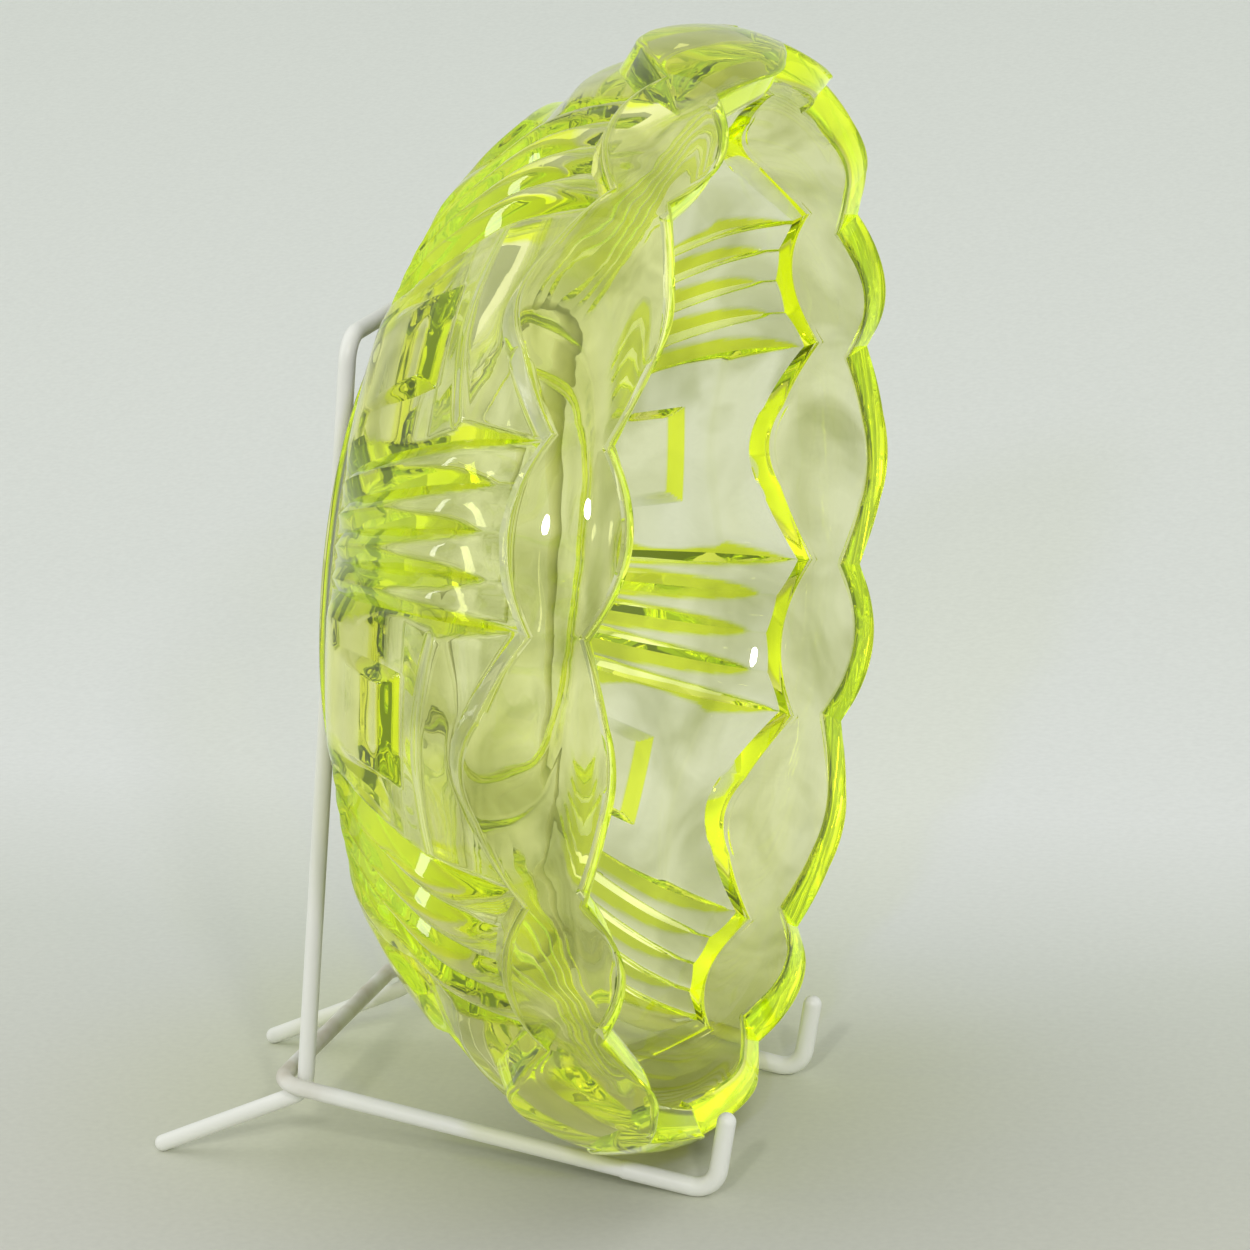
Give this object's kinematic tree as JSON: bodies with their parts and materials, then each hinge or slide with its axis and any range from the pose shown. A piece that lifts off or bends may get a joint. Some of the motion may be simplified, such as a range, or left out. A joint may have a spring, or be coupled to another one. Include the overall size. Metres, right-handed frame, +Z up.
{
  "type": "uranium glass dish",
  "caption": "Pressed green-yellow glass dish with a scalloped rolled rim and reeded and plain panels, standing on edge on a folding plastic-coated wire plate stand.",
  "frame": {"origin": "on the table, under the middle of the outline of the dish and its stand together", "axes": "+X the way the dish opens and its hooks face, +Z up, +Y to the far side of the dish seen from -Y"},
  "size_m": [0.1221, 0.2106, 0.2119],
  "materials": {
    "uranium_glass": "fire polished",
    "steel_wire": "drawn",
    "white_coat": "satin dipped plastic"
  },
  "bodies": {
    "base": {"base_core": "steel_wire", "base_coat": "white_coat"},
    "back_support": {"back_support_core": "steel_wire", "back_support_coat": "white_coat"},
    "dish": {"glass_dish": "uranium_glass"}
  },
  "joints": [
    {"name": "back_support_fold", "type": "hinge", "parent": "base", "child": "back_support", "pos_m": [-0.03395, 0, 0.01705], "axis": [0, -1, 0], "range_deg": [0, 80]},
    {"name": "dish_lift", "type": "slide", "parent": "base", "child": "dish", "axis": [0.0638, 0, 0.998], "range_m": [0, 0.2]}
  ]
}
